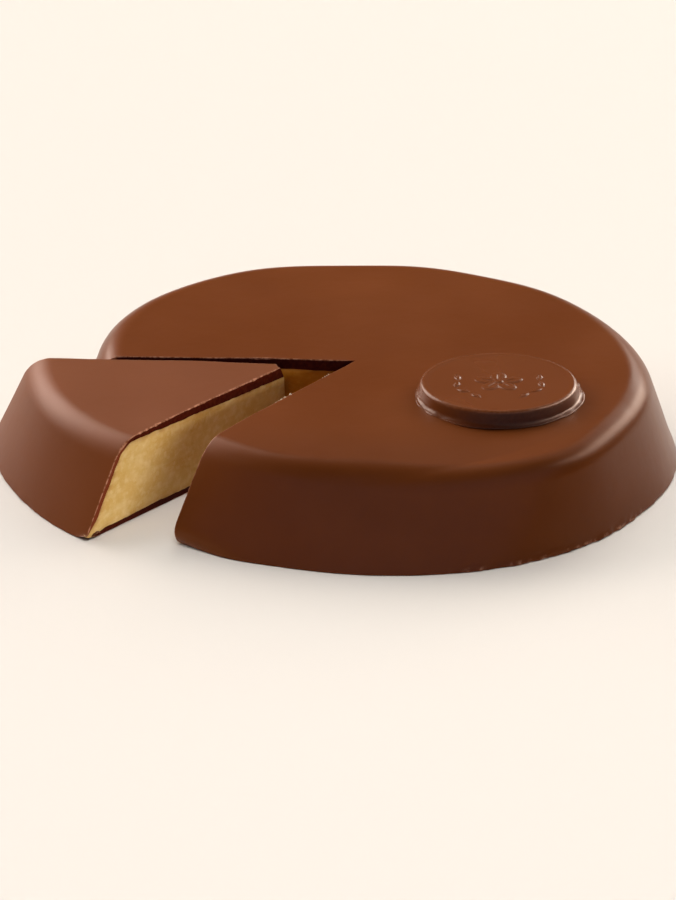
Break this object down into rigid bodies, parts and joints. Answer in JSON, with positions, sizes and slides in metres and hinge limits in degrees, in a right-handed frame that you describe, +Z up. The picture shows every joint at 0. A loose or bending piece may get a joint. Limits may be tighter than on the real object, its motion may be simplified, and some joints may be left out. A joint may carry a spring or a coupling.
{
  "type": "marzipan cake",
  "caption": "Low round cake of marzipan in a smooth chocolate coat, with a wedge slice drawn part-way out of its notch and a round chocolate medallion on top.",
  "frame": {"origin": "on the resting plane, under the middle of the whole cake's plan outline", "axes": "+Z up out of the cake's top, -Y towards the viewer of the picture, +X to the viewer's right; the slice lies on the -X side"},
  "size_m": [0.1247, 0.1113, 0.0195],
  "materials": {
    "chocolate": "satin milk chocolate",
    "marzipan": "matt, finely grainy"
  },
  "bodies": {
    "root": {"cake_coat": "chocolate", "cake_marzipan": "marzipan", "slice_coat": "chocolate", "slice_marzipan": "marzipan", "medallion": "chocolate"}
  },
  "joints": []
}
